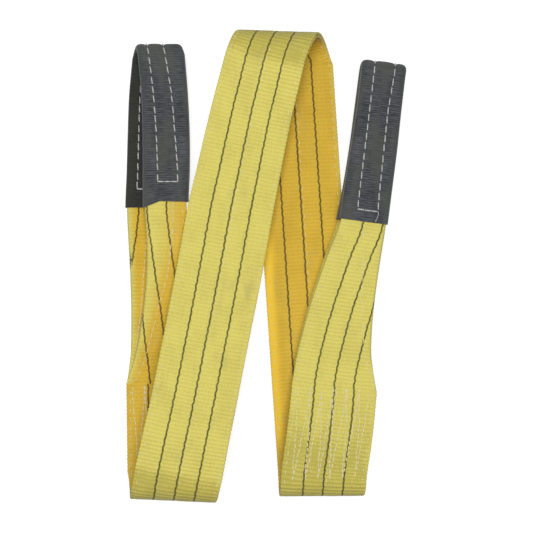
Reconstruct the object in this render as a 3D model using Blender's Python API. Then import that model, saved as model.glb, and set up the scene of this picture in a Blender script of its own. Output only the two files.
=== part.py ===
"""Flat web sling: a two-ply polyester strap with a folded, sleeved eye at each end.

The strap is laid out in four legs joined by three return folds.  Each fold is a chain of
short wedges, so the strap can be unrolled.  Each eye opens at four links in its sleeve.
Units are metres, +Z is up, and the strap lies on the plane z = 0.
"""
import math

import bmesh
import bpy
import numpy as np

MM = 0.001

# ---- driving sizes, in millimetres -------------------------------------------------
WEB_WIDTH = 90.0
PLY = 3.0                 # thickness of one ply
PLY_GAP = 0.3             # gap between the two plies
JOINT_GAP = 0.3           # gap between the end faces of two linked pieces
FOLDED = 6.4              # thickness of a ply folded over on itself
SPLICE_GAP = 0.9          # gap where a ply leaves the splice at an angle
SLEEVE_WALL = 1.4
SLEEVE_FIT = 0.3          # gap between the sleeve and the band inside it
EYE_GAP = 8.0             # free height between the two sides of a closed eye
CENTRE = (-1.41, 0.55, 0.0)   # middle of the layout below, moved to the frame's origin
THREAD_WIDTH = 1.3
THREAD_LIFT = (0.2, 0.85)
WEDGES = 3                # wedges in each return fold
LEG_B_PARTS = 3           # lengths that each ply of the arched leg b is made in

HALF = PLY + PLY_GAP / 2.0
SLEEVE_HEIGHT = FOLDED + 2.0 * (SLEEVE_WALL + SLEEVE_FIT)
EYE_HEIGHT = 2.0 * SLEEVE_HEIGHT + EYE_GAP
BAND_INSET = SLEEVE_WALL + SLEEVE_FIT

# ---- layout of the strap: west and east edges of the mid surface (x, y, z) ----------
STRAP_A_TOP = ((-153.8, -128.5, HALF), (-63.8, -128.5, HALF))
FOLD_AB = {
    "west": (-225.5, 20.9, -152.6, -140.9), "east": (-233.5, 17.9, -62.3, -48.9),
    "out": -1.0,
}
STRAP_B_WEST = [
    (-131.6, -181.8, 46.5), (-122.2, -140.1, 44.9), (-113.9, -98.5, 41.9), (-106.0, -56.6, 38.3),
    (-98.2, -14.3, 35.1), (-90.6, 28.2, 32.9), (-82.6, 70.9, 31.9), (-73.7, 108.3, 31.2),
    (-64.9, 145.8, 31.0), (-56.9, 177.6, 31.9), (-49.6, 203.9, 33.6),
]
STRAP_B_EAST = [
    (-40.6, -190.8, 40.6), (-32.4, -149.7, 39.2), (-24.6, -108.8, 36.6), (-16.5, -67.7, 33.1),
    (-8.2, -26.3, 29.8), (-0.4, 15.4, 27.3), (7.0, 57.3, 26.2), (14.0, 94.0, 27.3),
    (20.9, 130.1, 31.0), (27.2, 160.2, 37.2), (33.6, 185.5, 44.0),
]
FOLD_BC = {
    "west": (235.6, 16.9, -18.7, -39.9), "east": (221.8, 25.4, 72.9, 43.0),
    "out": 1.0,
}
FOLD_CD = {
    "west": (-228.5, 16.4, 12.9, 15.0), "east": (-228.0, 16.4, 103.1, 106.1),
    "out": -1.0,
}
STRAP_D_WEST = [(19.0, -194.9, 34.6), (23.3, -163.9, 29.8)]
STRAP_D_EAST = [(111.0, -194.6, 34.6), (115.2, -164.9, 29.8)]
STRAP_D_TOP = ((27.8, -123.5, 23.0), (118.7, -135.3, 23.0))
STRAP_D_ARRIVES = (0.11, 0.985, -0.11)

# ---- eyes: fold edge, selvedge, height of the outer face, thickness, folded width ---
TAPER = [(3.02, 3.0), (3.5, 8.0), (FOLDED, 13.0), (FOLDED, 21.0), (FOLDED, 29.0), (FOLDED, 35.0)]
LEFT_FRONT = [
    (-153.8, -128.5, -63.8, -128.5, 6.3), (-146.0, -105.0, -66.0, -105.0, 8.8),
    (-140.8, -85.0, -68.0, -85.0, 14.0), (-134.5, -50.0, -71.5, -50.0, 18.5),
    (-130.6, -15.0, -76.5, -15.0, 21.8), (-129.3, 23.0, -81.5, 23.0, 24.3),
    (-131.4, 62.0, -86.0, 62.0, 25.9), (-131.7, 105.0, -84.8, 105.0, 25.9),
    (-131.9, 145.0, -85.0, 145.0, 25.9), (-133.3, 187.0, -87.0, 187.0, 25.9),
    (-137.0, 228.0, -90.3, 228.0, 25.9),
]
LEFT_BACK = [
    (-153.8, -128.5, -63.8, -128.5, 0.0), (-150.6, -105.0, -68.0, -105.0, 0.0),
    (-149.1, -85.0, -72.0, -85.0, 0.2), (-148.7, -50.0, -79.0, -50.0, 0.8),
    (-149.5, -15.0, -88.0, -15.0, 1.4), (-151.4, 23.0, -98.5, 23.0, 1.7),
    (-153.1, 62.0, -106.5, 62.0, 1.7), (-151.6, 105.0, -105.0, 105.0, 1.7),
    (-150.5, 145.0, -104.0, 145.0, 1.7), (-149.0, 187.0, -102.5, 187.0, 1.7),
    (-145.4, 228.0, -98.6, 228.0, 1.7),
]
RIGHT_FRONT = [
    (118.7, -135.3, 27.8, -123.5, 26.15), (114.8, -110.8, 32.0, -100.0, 25.5),
    (113.0, -90.5, 36.6, -80.5, 26.0), (114.6, -55.5, 45.8, -46.5, 27.4),
    (118.6, -20.0, 57.0, -12.0, 29.2), (122.8, 9.7, 67.3, 17.0, 31.0),
    (127.2, 39.0, 78.3, 45.5, 32.5), (132.0, 76.7, 84.5, 83.0, 32.5),
    (138.3, 124.0, 92.3, 130.0, 30.6), (143.0, 165.0, 98.8, 171.0, 28.0),
    (148.0, 205.5, 103.8, 211.5, 25.9),
]
RIGHT_BACK = [
    (118.7, -135.3, 27.8, -123.5, 19.85), (115.0, -110.8, 31.7, -100.0, 15.3),
    (113.4, -90.5, 36.0, -80.5, 12.0), (113.9, -55.5, 44.8, -46.5, 8.8),
    (117.2, -20.0, 55.6, -12.0, 8.3), (121.3, 9.7, 65.8, 17.0, 8.3),
    (125.6, 39.0, 76.4, 45.5, 8.3), (133.0, 76.7, 84.6, 83.0, 8.3),
    (139.3, 124.0, 92.5, 130.0, 6.4), (144.1, 165.0, 98.2, 171.0, 3.8),
    (149.5, 205.5, 103.6, 211.5, 1.7),
]
ROOT_STATION = 6          # where the opening part of an eye starts
MID_STATION = 8           # the link half way along the sleeve
TIP_STATION = 10          # where the bend at the tip starts
MOUTH = {"left_front": 6.17, "left_back": 6.06, "right_front": 6.17, "right_back": 6.17}

MATERIALS = {
    "webbing": (0.72, 0.62, 0.12, 0.75),
    "sleeve": (0.075, 0.08, 0.085, 0.9),
    "thread": (0.62, 0.60, 0.56, 0.7),
}


# ---- small helpers ------------------------------------------------------------------
def unit(vec):
    vec = np.asarray(vec, float)
    return vec / np.linalg.norm(vec)


def smooth_curve(points, t, leave=None, arrive=None):
    """Catmull-Rom value at station number t (stations are whole numbers).

    leave and arrive are optional unit directions at the first and last point.
    """
    pts = np.asarray(points, float)
    first = 2.0 * pts[0] - pts[1]
    last = 2.0 * pts[-1] - pts[-2]
    if leave is not None:
        first = pts[1] - 2.0 * leave * np.linalg.norm(pts[1] - pts[0])
    if arrive is not None:
        last = pts[-2] + 2.0 * arrive * np.linalg.norm(pts[-1] - pts[-2])
    ext = np.vstack([first, pts, last])
    i = int(min(max(math.floor(t), 0), len(pts) - 2))
    x = t - i
    p0, p1, p2, p3 = ext[i], ext[i + 1], ext[i + 2], ext[i + 3]
    a = 2.0 * p1
    b = p2 - p0
    c = 2.0 * p0 - 5.0 * p1 + 4.0 * p2 - p3
    d = 3.0 * p1 - p0 - 3.0 * p2 + p3
    return 0.5 * (a + b * x + c * x * x + d * x ** 3)


def clear_scene():
    for obj in list(bpy.data.objects):
        bpy.data.objects.remove(obj, do_unlink=True)


def make_materials():
    made = {}
    for name, (r, g, b, rough) in MATERIALS.items():
        mat = bpy.data.materials.new(name)
        mat.use_nodes = True
        shader = mat.node_tree.nodes["Principled BSDF"]
        shader.inputs["Base Color"].default_value = (r, g, b, 1.0)
        shader.inputs["Roughness"].default_value = rough
        mat.diffuse_color = (r, g, b, 1.0)
        made[name] = mat
    return made


def add_mesh(name, verts, faces, origin, material):
    """One closed body, its origin at the given point (all in millimetres)."""
    origin = np.asarray(origin, float)
    mesh = bpy.data.meshes.new(name)
    local = [tuple((np.asarray(v) - origin) * MM) for v in verts]
    mesh.from_pydata(local, [], faces)
    bm = bmesh.new()
    bm.from_mesh(mesh)
    bmesh.ops.recalc_face_normals(bm, faces=bm.faces)
    bm.to_mesh(mesh)
    bm.free()
    mesh.materials.append(material)
    obj = bpy.data.objects.new(name, mesh)
    obj.location = tuple((origin - np.asarray(CENTRE)) * MM)
    bpy.context.scene.collection.objects.link(obj)
    return obj


def slab(name, rows, normals, low, high, origin, material):
    """A sheet between two offsets of a grid of points."""
    rows = np.asarray(rows)
    normals = np.asarray(normals)
    nu, nv = rows.shape[:2]
    top = (rows + normals * high).reshape(-1, 3)
    bottom = (rows + normals * low).reshape(-1, 3)
    verts = list(top) + list(bottom)
    base = nu * nv
    faces = []
    for i in range(nu - 1):
        for j in range(nv - 1):
            a, b = i * nv + j, i * nv + j + 1
            c, d = (i + 1) * nv + j + 1, (i + 1) * nv + j
            faces.append((a, b, c, d))
            faces.append((base + d, base + c, base + b, base + a))
    rim = [j for j in range(nv)]
    rim += [i * nv + nv - 1 for i in range(1, nu)]
    rim += [(nu - 1) * nv + j for j in range(nv - 2, -1, -1)]
    rim += [i * nv for i in range(nu - 2, 0, -1)]
    for k, a in enumerate(rim):
        b = rim[(k + 1) % len(rim)]
        faces.append((a, b, base + b, base + a))
    return add_mesh(name, verts, faces, origin, material)


def loft(name, sections, caps, origin, material):
    """A solid through closed sections that share one point count."""
    sections = np.asarray(sections)
    n, m = sections.shape[:2]
    verts = list(sections.reshape(-1, 3))
    faces = []
    for i in range(n - 1):
        for j in range(m):
            k = (j + 1) % m
            faces.append((i * m + j, i * m + k, (i + 1) * m + k, (i + 1) * m + j))
    for cap in caps:
        faces.append(tuple(cap))
        faces.append(tuple((n - 1) * m + j for j in cap))
    return add_mesh(name, verts, faces, origin, material)


def tube(name, outer, inner, origin, material):
    """A hollow sleeve through matching outer and inner sections, open at both ends."""
    outer = np.asarray(outer)
    inner = np.asarray(inner)
    n, m = outer.shape[:2]
    verts = list(outer.reshape(-1, 3)) + list(inner.reshape(-1, 3))
    base = n * m
    faces = []
    for i in range(n - 1):
        for j in range(m):
            k = (j + 1) % m
            a, b, c, d = i * m + j, i * m + k, (i + 1) * m + k, (i + 1) * m + j
            faces.append((a, b, c, d))
            faces.append((base + d, base + c, base + b, base + a))
    for j in range(m):
        k = (j + 1) % m
        e = (n - 1) * m
        faces.append((j, k, base + k, base + j))
        faces.append((e + j, e + k, base + e + k, base + e + j))
    return add_mesh(name, verts, faces, origin, material)


# ---- the strap: pieces are functions of t in 0..1 that return both edges ------------
def straight(start, end):
    a = np.asarray(start, float)
    b = np.asarray(end, float)

    def at(t):
        both = a + (b - a) * t
        return both[0], both[1]

    return at


def fold(spec, upward):
    """Half turn about a level axis.  upward: starts on the floor and ends on top."""

    def edge(y_axis, radius, x_low, x_high, angle):
        share = (angle + math.pi / 2.0) / math.pi
        x = x_low + (x_high - x_low) * share
        y = y_axis + spec["out"] * radius * math.cos(angle)
        z = HALF + radius + radius * math.sin(angle)
        return np.array([x, y, z])

    def at(t):
        share = t if upward else 1.0 - t
        angle = -math.pi / 2.0 + math.pi * share
        return edge(*spec["west"], angle), edge(*spec["east"], angle)

    return at


def heading(piece, t0, t1):
    """Unit direction of travel of both edges between two close values of t."""
    w0, e0 = piece(t0)
    w1, e1 = piece(t1)
    return unit(w1 - w0), unit(e1 - e0)


def leg_between(before, middle_west, middle_east, after):
    """A leg that leaves one fold and enters the next one in line with both."""
    leave = heading(before, 0.999, 1.0)
    start = before(1.0)
    if callable(after):
        end = after(0.0)
        arrive = heading(after, 0.0, 0.001)
    else:
        end = [np.array(p) for p in after]
        arrive = (unit(STRAP_D_ARRIVES), unit(STRAP_D_ARRIVES))
    west = [start[0]] + [np.array(p) for p in middle_west] + [end[0]]
    east = [start[1]] + [np.array(p) for p in middle_east] + [end[1]]
    n = len(west) - 1

    def at(t):
        return (smooth_curve(west, t * n, leave[0], arrive[0]),
                smooth_curve(east, t * n, leave[1], arrive[1]))

    return at


def strap_pieces():
    fold_ab = fold(FOLD_AB, True)
    fold_bc = fold(FOLD_BC, False)
    fold_cd = fold(FOLD_CD, True)
    return {
        "strap_a": straight(STRAP_A_TOP, fold_ab(0.0)),
        "fold_ab": fold_ab,
        "strap_b": leg_between(fold_ab, STRAP_B_WEST, STRAP_B_EAST, fold_bc),
        "fold_bc": fold_bc,
        "strap_c": straight(fold_bc(1.0), fold_cd(0.0)),
        "fold_cd": fold_cd,
        "strap_d": leg_between(fold_cd, STRAP_D_WEST, STRAP_D_EAST, STRAP_D_TOP),
    }


def surface(piece, t, v):
    """Point and outward normal of the mid surface; v runs 0..1 from west to east."""
    west, east = piece(t)
    point = west + (east - west) * v
    t0, t1 = max(t - 0.004, 0.0), min(t + 0.004, 1.0)
    w0, e0 = piece(t0)
    w1, e1 = piece(t1)
    along = (w1 + (e1 - w1) * v) - (w0 + (e0 - w0) * v)
    return point, unit(np.cross(east - west, along))


def grid(piece, t0, t1, steps, across=4):
    rows, normals = [], []
    for t in np.linspace(t0, t1, steps + 1):
        both = [surface(piece, t, v) for v in np.linspace(0.0, 1.0, across + 1)]
        rows.append([p for p, _ in both])
        normals.append([n for _, n in both])
    return np.array(rows), np.array(normals)


def piece_length(piece):
    pts = []
    for t in np.linspace(0.0, 1.0, 60):
        west, east = piece(t)
        pts.append((west + east) / 2.0)
    return float(sum(np.linalg.norm(b - a) for a, b in zip(pts, pts[1:])))


def hinge_point(piece, t, offset=HALF):
    point, normal = surface(piece, t, 0.5)
    return point + normal * offset


def two_plies(name, piece, t0, t1, steps, origin, material):
    pad = JOINT_GAP / 2.0 / piece_length(piece)
    rows, normals = grid(piece, t0 + pad, t1 - pad, steps)
    slab(name + "_outer_ply", rows, normals, PLY_GAP / 2.0, HALF, origin, material)
    slab(name + "_inner_ply", rows, normals, -HALF, -PLY_GAP / 2.0, origin, material)


def build_strap(pieces, material):
    """Strap c is the base; every other piece has its origin on its own hinge line."""
    origins = {
        "strap_a": hinge_point(pieces["fold_ab"], 0.0),
        "strap_b": hinge_point(pieces["fold_bc"], 0.0),
        "strap_c": (hinge_point(pieces["strap_c"], 0.5, -HALF)),
        "strap_d": hinge_point(pieces["fold_cd"], 1.0),
    }
    for name, steps in (("strap_a", 2), ("strap_c", 2), ("strap_d", 20)):
        two_plies(name, pieces[name], 0.0, 1.0, steps, origins[name], material)
    for k in range(LEG_B_PARTS):
        t0, t1 = k / LEG_B_PARTS, (k + 1) / LEG_B_PARTS
        two_plies(f"strap_b_{k + 1}", pieces["strap_b"], t0, t1, 12, origins["strap_b"], material)
    for name in ("fold_ab", "fold_bc", "fold_cd"):
        for k in range(WEDGES):
            t0, t1 = k / WEDGES, (k + 1) / WEDGES
            origin = hinge_point(pieces[name], t0 if name == "fold_cd" else t1)
            two_plies(f"{name}_{k + 1}", pieces[name], t0, t1, 6, origin, material)


# ---- eyes -----------------------------------------------------------------------------
def eye_state(table, t, outward):
    """Frame of the band at station t: selvedge point, direction, normal, width, fold."""
    row = smooth_curve(table, t)
    row[4] = max(row[4], 0.0)
    fold_edge = np.array([row[0], row[1], row[4]])
    selvedge = np.array([row[2], row[3], row[4]])
    across = unit(fold_edge - selvedge)
    near, far = smooth_curve(table, t - 0.05), smooth_curve(table, t + 0.05)
    if t > TIP_STATION - 0.5:
        run = np.array([0.0, 1.0, 0.0])
    else:
        mid0 = np.array([near[0] + near[2], near[1] + near[3], 2.0 * near[4]])
        mid1 = np.array([far[0] + far[2], far[1] + far[3], 2.0 * far[4]])
        run = unit(mid1 - mid0)
    normal = unit(np.cross(run, across))
    if normal[2] * outward < 0.0:
        normal = -normal
    width = float(np.linalg.norm(fold_edge - selvedge))
    if t < len(TAPER) - 1:
        thick, folded = smooth_curve(TAPER, t)
    else:
        thick, folded = FOLDED, min(35.0 + 3.0 * (t - 5.0), 38.0)
    thick = min(max(thick, 3.02), FOLDED)
    return selvedge, across, normal, width, thick, folded


def band_section(state):
    """One ply with its edge folded over on the inner side of the eye."""
    base, across, normal, width, thick, folded = state
    r = thick / 2.0
    flat = [(0.0, 0.0), (width - folded, 0.0)]
    for k in range(5):
        angle = math.pi / 2.0 - k * math.pi / 4.0
        flat.append((width - r + r * math.cos(angle), -r + r * math.sin(angle)))
    flat += [(width - folded, -thick), (width - folded, -PLY), (0.0, -PLY)]
    return [base + across * a + normal * h for a, h in flat]


BAND_CAPS = [(0, 1, 8, 9), (1, 2, 3, 4, 5, 6, 7, 8)]


def sleeve_section(state, inner):
    """Rounded rectangle round the band; the inner one is the bore of the sleeve."""
    base, across, normal, width = state[:4]
    wall = SLEEVE_WALL if inner else 0.0
    lo, hi = -2.3 + wall, width + 1.9 - wall
    top, bottom = BAND_INSET - wall, BAND_INSET - SLEEVE_HEIGHT + wall
    r = 2.9 - wall
    corners = [(hi - r, top - r, 0.0), (lo + r, top - r, 90.0),
               (lo + r, bottom + r, 180.0), (hi - r, bottom + r, 270.0)]
    points = []
    for cx, cz, start in corners:
        for k in range(4):
            angle = math.radians(start + 30.0 * k)
            a = cx + r * math.cos(angle)
            h = cz + r * math.sin(angle)
            points.append(base + across * a + normal * h)
    return points


def tip_states(front, back, steps):
    """States round the bend at the end of the eye."""
    f = eye_state(front, TIP_STATION, 1.0)
    b = eye_state(back, TIP_STATION, -1.0)
    radius = (f[0][2] - b[0][2]) / 2.0
    axis_z = (f[0][2] + b[0][2]) / 2.0
    across = unit(f[1] + b[1])
    ahead = unit(np.cross(across, (0.0, 0.0, 1.0)))
    if ahead[1] < 0.0:
        ahead = -ahead
    gap = JOINT_GAP / 2.0
    states = []
    for k in range(steps + 1):
        share = k / steps
        angle = math.pi * share
        normal = np.array([0.0, 0.0, 1.0]) * math.cos(angle) + ahead * math.sin(angle)
        base = f[0] + (b[0] - f[0]) * share
        base = np.array([base[0], base[1], axis_z]) + normal * radius + ahead * gap
        width = f[3] + (b[3] - f[3]) * share
        states.append((base, across, normal, width, FOLDED, 38.0))
    return states


def run_states(table, outward, t0, t1, steps):
    """Evenly spaced states between two stations, a little short of both."""
    length = abs(table[int(t0)][1] - table[min(int(t0) + 1, TIP_STATION)][1])
    pad = JOINT_GAP / 2.0 / max(length, 20.0)
    start = t0 + (SPLICE_GAP / length if t0 == 0 else pad)
    stations = np.linspace(start, t1 - pad, steps + 1)
    return [eye_state(table, t, outward) for t in stations]


def band(name, states, origin, material):
    loft(name, [band_section(s) for s in states], BAND_CAPS, origin, material)


def sleeve(name, states, origin, material):
    outer = [sleeve_section(s, False) for s in states]
    inner = [sleeve_section(s, True) for s in states]
    tube(name, outer, inner, origin, material)


def eye_links(front, back):
    """Link points of an eye, from the front root round the tip to the back."""
    def centre(table, station):
        row = table[station]
        return np.array([(row[0] + row[2]) / 2.0, (row[1] + row[3]) / 2.0, row[4]])

    drop = SLEEVE_HEIGHT - BAND_INSET
    links = {
        "front_1": centre(front, ROOT_STATION) + (0.0, 0.0, BAND_INSET),
        "front_2": centre(front, MID_STATION) - (0.0, 0.0, drop),
        "back_2": centre(back, TIP_STATION) - (0.0, 0.0, BAND_INSET),
        "back_1": centre(back, MID_STATION) + (0.0, 0.0, drop),
    }
    # the eye opens as a parallelogram, so its front link is made as long as its back link
    uneven = (links["front_2"] - links["front_1"]) - (links["back_2"] - links["back_1"])
    links["front_1"] = links["front_1"] + uneven / 2.0
    links["front_2"] = links["front_2"] - uneven / 2.0
    return links


def build_eye(side, front, back, root_origin, mats):
    web, cloth = mats["webbing"], mats["sleeve"]
    links = eye_links(front, back)
    for part, table, outward in (("front", front, 1.0), ("back", back, -1.0)):
        mouth = MOUTH[side + "_" + part]
        label = f"{side}_eye_{part}"
        taper = run_states(table, outward, 0, ROOT_STATION, 26)
        band(label + "_taper", taper, root_origin, web)
        spans = ((1, ROOT_STATION, MID_STATION, mouth), (2, MID_STATION, TIP_STATION, MID_STATION))
        for number, t0, t1, sleeve_from in spans:
            origin = links[f"{part}_{number}"]
            band(f"{label}_band_{number}", run_states(table, outward, t0, t1, 8), origin, web)
            covered = run_states(table, outward, sleeve_from, t1, 8)
            sleeve(f"{side}_sleeve_{part}_{number}", covered, origin, cloth)
    bend = tip_states(front, back, 12)
    band(f"{side}_eye_tip_band", bend, links["front_2"], web)
    sleeve(f"{side}_sleeve_tip", bend, links["front_2"], cloth)


# ---- stitching ------------------------------------------------------------------------
def stitch_line(name, route, place, origin, material):
    """A flat thread along a route of flat (a, b) points, laid on a surface.

    place(a, b) returns the surface point and its outward normal.
    """
    route = [np.asarray(p, float) for p in route]
    left, right = [], []
    for i, p in enumerate(route):
        before = unit(p - route[i - 1]) if i else unit(route[1] - p)
        after = unit(route[i + 1] - p) if i < len(route) - 1 else before
        side = unit(np.array([-before[1], before[0]]) + np.array([-after[1], after[0]]))
        reach = THREAD_WIDTH / 2.0 / max(side @ np.array([-before[1], before[0]]), 0.35)
        left.append(p + side * reach)
        right.append(p - side * reach)
    rows, normals = [], []
    for a, b in zip(left, right):
        pa, na = place(*a)
        pb, nb = place(*b)
        rows.append([pa, pb])
        normals.append([na, nb])
    slab(name, rows, normals, THREAD_LIFT[0], THREAD_LIFT[1], origin, material)


def dense(points, step):
    out = [points[0]]
    for a, b in zip(points, points[1:]):
        a, b = np.asarray(a, float), np.asarray(b, float)
        n = max(int(np.linalg.norm(b - a) / step), 1)
        out += [tuple(a + (b - a) * k / n) for k in range(1, n + 1)]
    return out


def zigzag(near, far, rows, edge, width):
    """Long narrow zigzag between two distances, across the width of the strap."""
    pitch = (width - 2.0 * edge) / rows
    points = []
    for k in range(rows + 1):
        v = edge + pitch * k
        u = near if k % 2 == 0 else far
        points += [(u, v - 0.8), (u, v + 0.8)]
    return points


def splice_stitch(name, piece, ply_side, u_range, origin, material):
    """Zigzag that sews the ends of the two plies together beside the eye."""
    length = piece_length(piece)

    def place(u, v):
        t = min(max(1.0 - u / length if ply_side > 0 else u / length, 0.0), 1.0)
        point, normal = surface(piece, t, v / WEB_WIDTH)
        return point + normal * HALF * ply_side, normal * ply_side

    route = dense(zigzag(u_range[0], u_range[1], 11, 6.5, WEB_WIDTH), 12.0)
    stitch_line(name, route, place, origin, material)


def sleeve_stitch(name, table, t0, t1, closed_at, origin, material):
    """Two rows of sewing along the sleeve, joined by a cross row near its mouth."""

    def place(t, a):
        state = eye_state(table, t / 20.0, 1.0)
        base, across, normal, width = state[:4]
        return base + across * (a / 46.0 * width) + normal * BAND_INSET, normal

    lo, hi = 13.5, 34.5
    if closed_at:
        route = [(t1 * 20.0, lo), (t0 * 20.0, lo), (t0 * 20.0, hi), (t1 * 20.0, hi)]
    else:
        route = [(t0 * 20.0, lo), (t1 * 20.0, lo), (t1 * 20.0, hi), (t0 * 20.0, hi)]
    stitch_line(name, dense(route, 5.0), place, origin, material)


def build_stitching(pieces, mats):
    thread = mats["thread"]
    a_origin = hinge_point(pieces["fold_ab"], 0.0)
    d_origin = hinge_point(pieces["fold_cd"], 1.0)
    splice_stitch("left_splice_stitching", pieces["strap_a"], -1.0, (2.5, 88.0), a_origin, thread)
    splice_stitch("right_splice_stitching", pieces["strap_d"], 1.0, (3.0, 88.0), d_origin, thread)
    for side, front, back in (("left", LEFT_FRONT, LEFT_BACK), ("right", RIGHT_FRONT, RIGHT_BACK)):
        links = eye_links(front, back)
        sleeve_stitch(f"{side}_sleeve_stitching_1", front, 6.6, 7.97, True, links["front_1"], thread)


def main():
    clear_scene()
    mats = make_materials()
    pieces = strap_pieces()
    build_strap(pieces, mats["webbing"])
    build_eye("left", LEFT_FRONT, LEFT_BACK, hinge_point(pieces["fold_ab"], 0.0), mats)
    build_eye("right", RIGHT_FRONT, RIGHT_BACK, hinge_point(pieces["fold_cd"], 1.0), mats)
    build_stitching(pieces, mats)


main()
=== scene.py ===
"""Looks of the flat web sling: woven plies, eyes, sleeves, sewing, light and camera."""
import math

import bpy
import numpy as np
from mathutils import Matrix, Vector


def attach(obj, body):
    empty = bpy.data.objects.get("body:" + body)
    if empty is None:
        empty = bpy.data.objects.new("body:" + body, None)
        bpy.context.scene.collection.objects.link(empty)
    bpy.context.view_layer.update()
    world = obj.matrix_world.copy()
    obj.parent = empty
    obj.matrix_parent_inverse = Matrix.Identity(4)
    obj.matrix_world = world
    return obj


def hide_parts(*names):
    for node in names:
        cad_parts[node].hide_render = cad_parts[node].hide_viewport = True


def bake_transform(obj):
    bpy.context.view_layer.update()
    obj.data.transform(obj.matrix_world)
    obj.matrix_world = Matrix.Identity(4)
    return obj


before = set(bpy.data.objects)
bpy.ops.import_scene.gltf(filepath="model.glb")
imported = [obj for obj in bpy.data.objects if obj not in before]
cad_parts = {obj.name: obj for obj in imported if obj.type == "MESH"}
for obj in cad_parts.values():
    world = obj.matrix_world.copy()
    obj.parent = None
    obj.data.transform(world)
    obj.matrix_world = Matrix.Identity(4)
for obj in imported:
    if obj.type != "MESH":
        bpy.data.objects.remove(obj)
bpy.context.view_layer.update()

MM = 0.001

# ---- sizes of the part, in millimetres ----
WEB = 90.0
PLY = 3.0
HALF = 3.15
FOLDED = 6.4
SLEEVE_HEIGHT = 9.8
BAND_INSET = 1.7
CENTRE = np.array([-1.41, 0.55, 0.0])
RIB = 4.12                # distance between two ribs of the weave
STEP = RIB / 4.0          # distance between two rows of the mesh
SLEEVE_STEP = 2.0         # the same, on a sleeve
FLOAT_PITCH = 2.3         # distance across between two warp threads that show
STRIPES = (-21.0, 0.0, 21.0)
SEAMS = (-40.6, 2.6, 40.6)

STRAP_A_TOP = ((-153.8, -128.5, HALF), (-63.8, -128.5, HALF))
FOLD_AB = {"west": (-225.5, 20.9, -152.6, -140.9), "east": (-233.5, 17.9, -62.3, -48.9),
           "out": -1.0}
STRAP_B_WEST = [
    (-131.6, -181.8, 46.5), (-122.2, -140.1, 44.9), (-113.9, -98.5, 41.9), (-106.0, -56.6, 38.3),
    (-98.2, -14.3, 35.1), (-90.6, 28.2, 32.9), (-82.6, 70.9, 31.9), (-73.7, 108.3, 31.2),
    (-64.9, 145.8, 31.0), (-56.9, 177.6, 31.9), (-49.6, 203.9, 33.6),
]
STRAP_B_EAST = [
    (-40.6, -190.8, 40.6), (-32.4, -149.7, 39.2), (-24.6, -108.8, 36.6), (-16.5, -67.7, 33.1),
    (-8.2, -26.3, 29.8), (-0.4, 15.4, 27.3), (7.0, 57.3, 26.2), (14.0, 94.0, 27.3),
    (20.9, 130.1, 31.0), (27.2, 160.2, 37.2), (33.6, 185.5, 44.0),
]
FOLD_BC = {"west": (235.6, 16.9, -18.7, -39.9), "east": (221.8, 25.4, 72.9, 43.0), "out": 1.0}
FOLD_CD = {"west": (-228.5, 16.4, 12.9, 15.0), "east": (-228.0, 16.4, 103.1, 106.1),
           "out": -1.0}
STRAP_D_WEST = [(19.0, -194.9, 34.6), (23.3, -163.9, 29.8)]
STRAP_D_EAST = [(111.0, -194.6, 34.6), (115.2, -164.9, 29.8)]
STRAP_D_TOP = ((27.8, -123.5, 23.0), (118.7, -135.3, 23.0))
STRAP_D_ARRIVES = (0.11, 0.985, -0.11)
TAPER = [(3.02, 3.0), (3.5, 8.0), (FOLDED, 13.0), (FOLDED, 21.0), (FOLDED, 29.0), (FOLDED, 35.0)]
LEFT_FRONT = [
    (-153.8, -128.5, -63.8, -128.5, 6.3), (-146.0, -105.0, -66.0, -105.0, 8.8),
    (-140.8, -85.0, -68.0, -85.0, 14.0), (-134.5, -50.0, -71.5, -50.0, 18.5),
    (-130.6, -15.0, -76.5, -15.0, 21.8), (-129.3, 23.0, -81.5, 23.0, 24.3),
    (-131.4, 62.0, -86.0, 62.0, 25.9), (-131.7, 105.0, -84.8, 105.0, 25.9),
    (-131.9, 145.0, -85.0, 145.0, 25.9), (-133.3, 187.0, -87.0, 187.0, 25.9),
    (-137.0, 228.0, -90.3, 228.0, 25.9),
]
LEFT_BACK = [
    (-153.8, -128.5, -63.8, -128.5, 0.0), (-150.6, -105.0, -68.0, -105.0, 0.0),
    (-149.1, -85.0, -72.0, -85.0, 0.2), (-148.7, -50.0, -79.0, -50.0, 0.8),
    (-149.5, -15.0, -88.0, -15.0, 1.4), (-151.4, 23.0, -98.5, 23.0, 1.7),
    (-153.1, 62.0, -106.5, 62.0, 1.7), (-151.6, 105.0, -105.0, 105.0, 1.7),
    (-150.5, 145.0, -104.0, 145.0, 1.7), (-149.0, 187.0, -102.5, 187.0, 1.7),
    (-145.4, 228.0, -98.6, 228.0, 1.7),
]
RIGHT_FRONT = [
    (118.7, -135.3, 27.8, -123.5, 26.15), (114.8, -110.8, 32.0, -100.0, 25.5),
    (113.0, -90.5, 36.6, -80.5, 26.0), (114.6, -55.5, 45.8, -46.5, 27.4),
    (118.6, -20.0, 57.0, -12.0, 29.2), (122.8, 9.7, 67.3, 17.0, 31.0),
    (127.2, 39.0, 78.3, 45.5, 32.5), (132.0, 76.7, 84.5, 83.0, 32.5),
    (138.3, 124.0, 92.3, 130.0, 30.6), (143.0, 165.0, 98.8, 171.0, 28.0),
    (148.0, 205.5, 103.8, 211.5, 25.9),
]
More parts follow.
